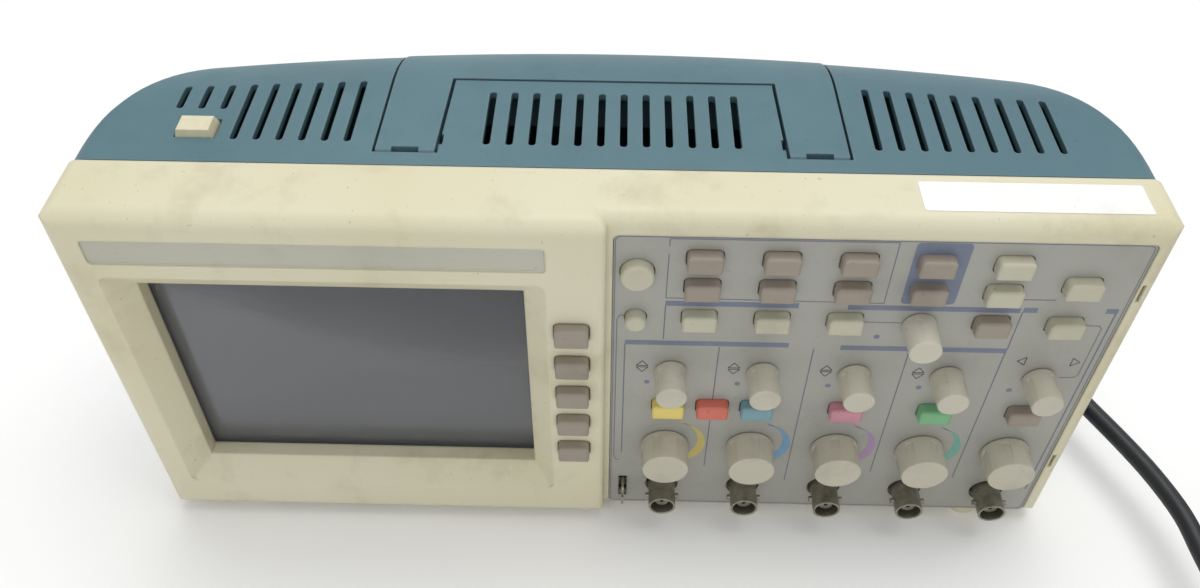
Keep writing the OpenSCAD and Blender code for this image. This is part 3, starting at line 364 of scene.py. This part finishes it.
def sheetMetal(name, base, rough=(0.28, 0.45), metallic=0.9):
    mat, tree, shader = startMaterial(name)
    at = position(tree)
    cloud = ramp(tree, noise(tree, at, 18, 5), [(0.35, 0), (0.7, 1)])
    darker = tuple(c * 0.72 for c in toLinear(base)[:3]) + (1,)
    tree.links.new(mix(tree, cloud, toLinear(base), darker), shader.inputs["Base Color"])
    shader.inputs["Metallic"].default_value = metallic
    roughFrom(tree, shader, noise(tree, at, 7, 4), rough[0], rough[1])
    lines = add(tree, "Mapping", inputs={"Vector": at, "Scale": (20, 20, 800)}).outputs[0]
    brushed = add(tree, "TexNoise", inputs={"Vector": lines, "Scale": 4.0, "Detail": 3.0}).outputs["Fac"]
    bump(tree, shader, brushed, 0.08, 0.03, 0.2)
    return mat


def cordSheath(name):
    mat, tree, shader = startMaterial(name)
    at = position(tree)
    dust = ramp(tree, noise(tree, at, 9, 5, 0.7), [(0.5, 0), (0.85, 0.35)])
    colour = mix(tree, dust, toLinear("#14161b"), toLinear("#3a3c40"))
    tree.links.new(colour, shader.inputs["Base Color"])
    roughFrom(tree, shader, noise(tree, at, 4, 4), 0.38, 0.58)
    bump(tree, shader, noise(tree, at, 0.9, 3), 0.2, 0.06)
    shader.inputs["IOR"].default_value = 1.53
    return mat


materials = {
    "beige": mouldedPlastic("moulded_abs_beige", "#d6d1b6", "#cfc8a6", "#8f8663", 0.5, 0.16, (0.4, 0.58),
                            1.2),
    "teal": mouldedPlastic("moulded_abs_teal", "#496a74", "#52747c", "#2f4a53", 0.5, 0.16, (0.42, 0.6),
                           0.8, 0.12, 0.3),
    "overlay": mouldedPlastic("panel_film_grey", "#a3a39b", "#9c9b92", "#716e62", 0.3, 0.05,
                              (0.34, 0.46), 0.3, 0.15, 0.25, 0.35),
    "mauve": mouldedPlastic("key_mauve", "#988d80", "#8f8375", "#675b4f", 0.3, 0.06, (0.38, 0.52), 0.7, 0.18),
    "cream": mouldedPlastic("key_cream", "#bdbaa4", "#b4b09a", "#7f7961", 0.3, 0.06, (0.38, 0.52), 0.7, 0.2),
    "yellow": mouldedPlastic("key_yellow", "#e3cf74", "#d9c268", "#8f7f3e", 0.3, 0.06, (0.38, 0.52), 0.7,
                             0.2),
    "red": mouldedPlastic("key_red", "#d0705f", "#c56755", "#7f3b30", 0.3, 0.06, (0.38, 0.52), 0.7, 0.15),
    "blue": mouldedPlastic("key_blue", "#7da0a9", "#7296a0", "#46626a", 0.3, 0.06, (0.38, 0.52), 0.7, 0.15),
    "pink": mouldedPlastic("key_pink", "#cf93a0", "#c48794", "#7e5059", 0.3, 0.06, (0.38, 0.52), 0.7, 0.15),
    "green": mouldedPlastic("key_green", "#7bb585", "#6faa79", "#416b49", 0.3, 0.06, (0.38, 0.52), 0.7, 0.15),
    "knob": mouldedPlastic("knob_grey", "#c5c1b0", "#bab5a2", "#7d7763", 0.35, 0.08, (0.4, 0.56), 0.5, 0.25),
    "power": mouldedPlastic("key_power", "#d8d2b4", "#cfc8a8", "#8f8663", 0.3, 0.06, (0.4, 0.52), 0.5, 0.2),
    "foot": mouldedPlastic("foot_dark", "#47585d", "#3e4e53", "#23302f", 0.4, 0.1, (0.45, 0.6), 0.4, 0.15),
    "mat": mouldedPlastic("silicone_mat", "#8f8f88", "#86867e", "#5c5b54", 0.4, 0.05, (0.5, 0.65), 0.3, 0.05),
    "nickel": dullNickel("nickel_plate"),
    "pane": clearPane("clear_pane"),
    "screen": screenPanel("display_panel"),
    "board": boardGreen("circuit_board"),
    "aluminium": sheetMetal("mill_aluminium", "#b9bcbd"),
    "zinc": sheetMetal("zinc_screw", "#a3a6a6"),
    "cord": cordSheath("cord_sheath"),
    "strip": mouldedPlastic("name_strip_film", "#b9b8a8", "#b0af9e", "#8b8875", 0.2, 0.04, (0.32, 0.42),
                            0.3, 0.1),
    # paper takes light evenly, with a faint fibre in the relief
    "paper": mouldedPlastic("label_paper", "#f2f1ee", "#e9e8e3", "#c9c6bc", 0.2, 0.05, (0.6, 0.75), 0.3, 0.1),
    "inkDark": printedInk("ink_dark", "#33363a"),
    "inkBar": printedInk("ink_bar_blue_grey", "#6e7688", 0.25),
    "inkLine": printedInk("ink_line_grey", "#6a6e78", 0.4),
    "inkYellow": printedInk("ink_yellow", "#bfae60", 0.25),
    "inkBlue": printedInk("ink_blue", "#6c93b3", 0.25),
    "inkPurple": printedInk("ink_purple", "#a085a6", 0.25),
    "inkGreen": printedInk("ink_green", "#6ba596", 0.25),
}


def dress(node, key):
    data = nodes[node].data
    data.materials.clear()
    data.materials.append(materials[key])


mauveKeys = ["save_key", "utility_key", "measure_key", "cursor_key", "acquire_key", "display_key", "help_key",
             "default_key", "trigger_menu_key", "horizontal_key"] + ["soft_key_%d" % i for i in range(1, 6)]
creamKeys = ["print_key", "probe_check_key", "autoset_key", "single_key", "run_stop_key", "trigger_view_key",
             "force_trigger_key", "half_level_key", "set_zero_key"]
looks = {
    "front_case": "beige", "rear_case": "teal", "handle": "teal", "front_overlay": "overlay",
    "display_window": "pane", "display_module": "screen", "chassis": "aluminium",
    "front_panel_board": "board", "main_board": "board", "power_supply": "zinc",
    "front_connectors": "nickel", "keypad_mats": "mat", "case_screws": "zinc",
    "cord_connector": "cord", "cord_plug": "cord", "power_button": "power",
    "left_flip_foot": "foot", "right_flip_foot": "foot",
    "channel_1_key": "yellow", "math_key": "red", "channel_2_key": "blue", "channel_3_key": "pink",
    "channel_4_key": "green",
}
for node in mauveKeys:
    looks[node] = "mauve"
for node in creamKeys:
    looks[node] = "cream"
for node in nodes:
    if node.endswith("_knob"):
        looks[node] = "knob"
for node, key in looks.items():
    dress(node, key)
mainsCord.data.materials.append(materials["cord"])
print("materials ready")


# ---------------------------------------------------------------- prints on the panel

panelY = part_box("front_overlay")[0][1]
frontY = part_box("front_case")[0][1]
ink = 0.05 * mm


# a flat outline in X and Z, ink-thick, standing on the plane at y
def printShape(name, outlines, y, key, body="case", thick=ink):
    verts, faces = [], []
    for outline in outlines:
        n = len(outline)
        start = len(verts)
        verts += [(x * mm, y - thick, z * mm) for x, z in outline]
        verts += [(x * mm, y + thick * 0.2, z * mm) for x, z in outline]
        faces.append([start + i for i in range(n)])
        faces.append([start + n + i for i in reversed(range(n))])
        faces += [[start + i, start + (i + 1) % n, start + n + (i + 1) % n, start + n + i] for i in range(n)]
    obj = meshObject(name, verts, faces)
    obj.data.materials.append(materials[key])
    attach(obj, body)
    return obj


def bar(x0, z0, x1, z1, width):
    dx, dz = x1 - x0, z1 - z0
    length = math.hypot(dx, dz)
    nx, nz = -dz / length * width / 2, dx / length * width / 2
    return [(x0 + nx, z0 + nz), (x1 + nx, z1 + nz), (x1 - nx, z1 - nz), (x0 - nx, z0 - nz)]


def box2(x0, x1, z0, z1):
    return [(x0, z0), (x1, z0), (x1, z1), (x0, z1)]


def path(points, width, closed=False):
    count = len(points)
    return [bar(*points[i], *points[(i + 1) % count], width) for i in range(count if closed else count - 1)]


def arc(cx, cz, radius, start, end, steps=12):
    out = []
    for i in range(steps + 1):
        a = math.radians(start + (end - start) * i / steps)
        out.append((cx + radius * math.cos(a), cz + radius * math.sin(a)))
    return out


def roundBox(x0, x1, z0, z1, r, steps=5):
    return (arc(x1 - r, z1 - r, r, 0, 90, steps) + arc(x0 + r, z1 - r, r, 90, 180, steps)
            + arc(x0 + r, z0 + r, r, 180, 270, steps) + arc(x1 - r, z0 + r, r, 270, 360, steps))


panelPrint = {
    "barWidth": 2.1,
    "line": 0.4,
}


def middleX(node):
    low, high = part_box(node)
    return (low[0] + high[0]) / 2 / mm


columnX = [middleX("volts_%d_knob" % i) for i in (1, 2, 3, 4)]
columnX.append(middleX("time_knob"))
largeZ = (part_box("time_knob")[0][2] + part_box("time_knob")[1][2]) / 2 / mm


def panelBars():
    w = panelPrint["barWidth"]
    shapes = [
        box2(5.2, 56.8, 95.6, 95.6 + w), box2(73.2, 125.4, 95.0, 95.0 + w),
        box2(17.1, 57.5, 113.8, 113.8 + w), box2(72.4, 124.4, 113.6, 113.6 + w),
        box2(125.2, 129.4, 113.8, 113.8 + w), box2(150.0, 153.6, 114.0, 114.0 + w),
        roundBox(87.6, 103.8, 116.7, 141.8, 1.4),
    ]
    return printShape("panel_bars", shapes, panelY, "inkBar")


def panelLines():
    w = panelPrint["line"]
    shapes = []
    shapes += path([(5.2, 95.8), (5.2, 37.3)], w)
    for x, low in ((35.1, 30.1), (64.9, 22.2), (95.0, 28.8), (125.1, 26.3)):
        shapes += path([(x, 95.2), (x, low)], w)
    shapes += path([(17.2, 113.9), (17.2, 98.6)], w)
    shapes += path([(125.2, 113.9), (125.3, 97.0)], w)
    shapes += path([(153.2, 114.2), (153.2, 20.0)], w + 0.1)
    shapes += path([(4.6, 109.2), (3.2, 109.0), (2.5, 107.0), (2.5, 36.0), (3.0, 33.4), (4.5, 32.8)], w * 0.8)
    # box round the menu keys, with a gap for its title
    shapes += path([(17.2, 135.6), (17.1, 117.2), (82.8, 116.6), (82.6, 141.7), (17.2, 141.6),
                    (17.2, 138.6)], w * 0.8)
    shapes += path([(122.8, 119.4), (133.5, 119.4)], w * 0.8)
    shapes += path([(145.5, 108.5), (150.2, 108.4), (151.2, 107.2), (151.2, 85.0),
                    (150.2, 83.8), (145.6, 83.6)], w * 0.8)
    shapes += path([(78.4, 108.2), (89.6, 108.1)], w * 0.8)
    # thin frame round the whole panel
    shapes += path(roundBox(1.6, 155.0, 7.2, 142.2, 1.6, 3), w * 0.7, True)
    return printShape("panel_lines", shapes, panelY, "inkLine")


def crescent(x, z):
    outer = arc(x + 2.4, z + 1.2, 11.7, -52, 78, 20)
    inner = arc(x - 0.6, z + 3.0, 11.9, 62, -62, 20)
    return outer + inner


def panelCrescents():
    for i, key in enumerate(("inkYellow", "inkBlue", "inkPurple", "inkGreen")):
        printShape("crescent_%d" % (i + 1), [crescent(columnX[i], largeZ)], panelY, key)


def panelMarks():
    shapes = []
    w = 0.28
    for i, x in enumerate(columnX[:4]):
        cx, cz = x - 9.3, 85.0 - 0.25 * i
        shapes += path([(cx - 1.9, cz + 0.35), (cx, cz + 2.7), (cx + 1.9, cz + 0.35)], w, True)
        shapes += path([(cx - 1.9, cz - 0.35), (cx, cz - 2.7), (cx + 1.9, cz - 0.35)], w, True)
    for s, x in ((-1, 131.4), (1, 148.4)):
        shapes += path([(x - s * 1.2, 93.2), (x + s * 1.4, 91.3), (x - s * 1.2, 89.4)], w, True)
    printShape("arrow_marks", shapes, panelY, "inkDark")
    dots = [arc(x - 7.5, 77.1, 0.95, 0, 330, 11) for x in columnX[:4]] + [arc(131.5, 76.6, 0.95, 0, 330, 11),
                                                                       arc(83.5, 101.5, 0.95, 0, 330, 11)]
    printShape("grey_dots", dots, panelY, "inkBar")


panelBars()
panelLines()
panelCrescents()
panelMarks()


# bare strip over the screen and bare paper label on the top
labels = {"strip": (-151.8, -18.7, 132.1, 141.1), "recess": 0.5,
          "paper": (88.7, 153.5, -45.5, -32.8)}


def nameStrip():
    printShape("name_strip", [roundBox(*labels["strip"], 1.2)], frontY + labels["recess"] * mm, "strip")


def paperLabel():
    x0, x1, y0, y1 = labels["paper"]
    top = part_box("front_case")[1][2]
    outline = [(x * mm, y * mm) for x, y in roundBox(x0, x1, y0, y1, 0.8)]
    n = len(outline)
    verts = [(x, y, top) for x, y in outline] + [(x, y, top + 0.12 * mm) for x, y in outline]
    faces = [list(reversed(range(n))), list(range(n, 2 * n))]
    faces += [[i, (i + 1) % n, n + (i + 1) % n, n + i] for i in range(n)]
    obj = meshObject("paper_label", verts, faces)
    obj.data.materials.append(materials["paper"])
    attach(obj, "case")


nameStrip()
paperLabel()
print("panel prints ready")


# ---------------------------------------------------------------- room

def makeRoom():
    wallDistance = 1.6
    radius = 0.5
    wide = 4.0
    profile = [(-2.5, 0.0), (wallDistance - radius, 0.0)]
    for i in range(1, 13):
        a = math.radians(-90 + 90 * i / 12)
        profile.append((wallDistance - radius + radius * math.cos(a), radius + radius * math.sin(a)))
    profile.append((wallDistance, 3.0))
    verts, faces = [], []
    for y, z in profile:
        verts += [(-wide, y, z), (wide, y, z)]
    for i in range(len(profile) - 1):
        faces.append([2 * i, 2 * i + 1, 2 * i + 3, 2 * i + 2])
    floor = meshObject("floor", verts, faces, True)
    mat, tree, shader = startMaterial("pale_table")
    shader.inputs["Base Color"].default_value = toLinear("#f8f7f5")
    shader.inputs["Roughness"].default_value = 0.55
    floor.data.materials.append(mat)


def areaLight(name, at, aim, size, power, colour=(1, 1, 1)):
    data = bpy.data.lights.new(name, "AREA")
    data.shape = "RECTANGLE"
    data.size, data.size_y = size
    data.energy = power
    data.color = colour
    obj = link(bpy.data.objects.new(name, data))
    obj.location = at
    obj.rotation_euler = (Vector(aim) - Vector(at)).to_track_quat("-Z", "Y").to_euler()


def makeLight():
    areaLight("ceiling_light", (0.25, 0.35, 1.9), (0, 0, 0), (1.8, 1.2), 22)
    areaLight("front_light", (-0.3, -1.6, 1.5), (0, 0, 0.05), (1.6, 1.0), 8.5)
    world = bpy.data.worlds.new("room")
    bpy.context.scene.world = world
    world.use_nodes = True
    world.node_tree.nodes["Background"].inputs[0].default_value = (0.95, 0.97, 1.0, 1)
    world.node_tree.nodes["Background"].inputs[1].default_value = 0.55


makeRoom()
makeLight()
bpy.context.scene.view_settings.view_transform = "Standard"
print("room ready")
